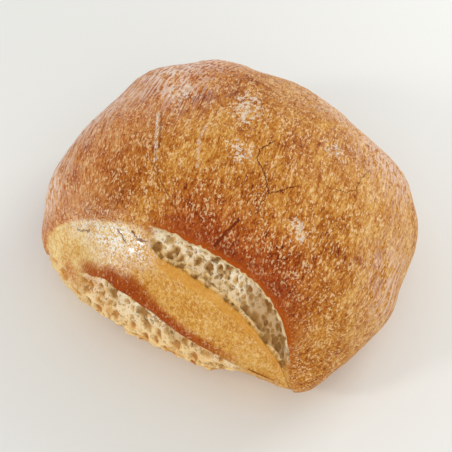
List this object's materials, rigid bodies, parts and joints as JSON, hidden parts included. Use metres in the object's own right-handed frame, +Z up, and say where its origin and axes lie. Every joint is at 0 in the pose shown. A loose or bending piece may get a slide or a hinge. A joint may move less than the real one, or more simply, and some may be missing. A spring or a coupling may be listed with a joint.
{
  "type": "bread roll",
  "caption": "Crusty oblong bread roll with a rounded dome and a torn slash along its front, under a raised lip of crust. It stands on its flat base.",
  "frame": {"origin": "on the plane that the roll rests on, below the middle of its bounding box", "axes": "+X along the torn slash, to the right as it is seen from the front; +Y towards the back; +Z up"},
  "size_m": [0.1046, 0.0904, 0.0545],
  "materials": {
    "crust": "baked crust, golden brown with a dull sheen, dusted with a little flour; pale crumb in the tears"
  },
  "bodies": {
    "root": {"bread_roll": "crust"}
  },
  "joints": []
}
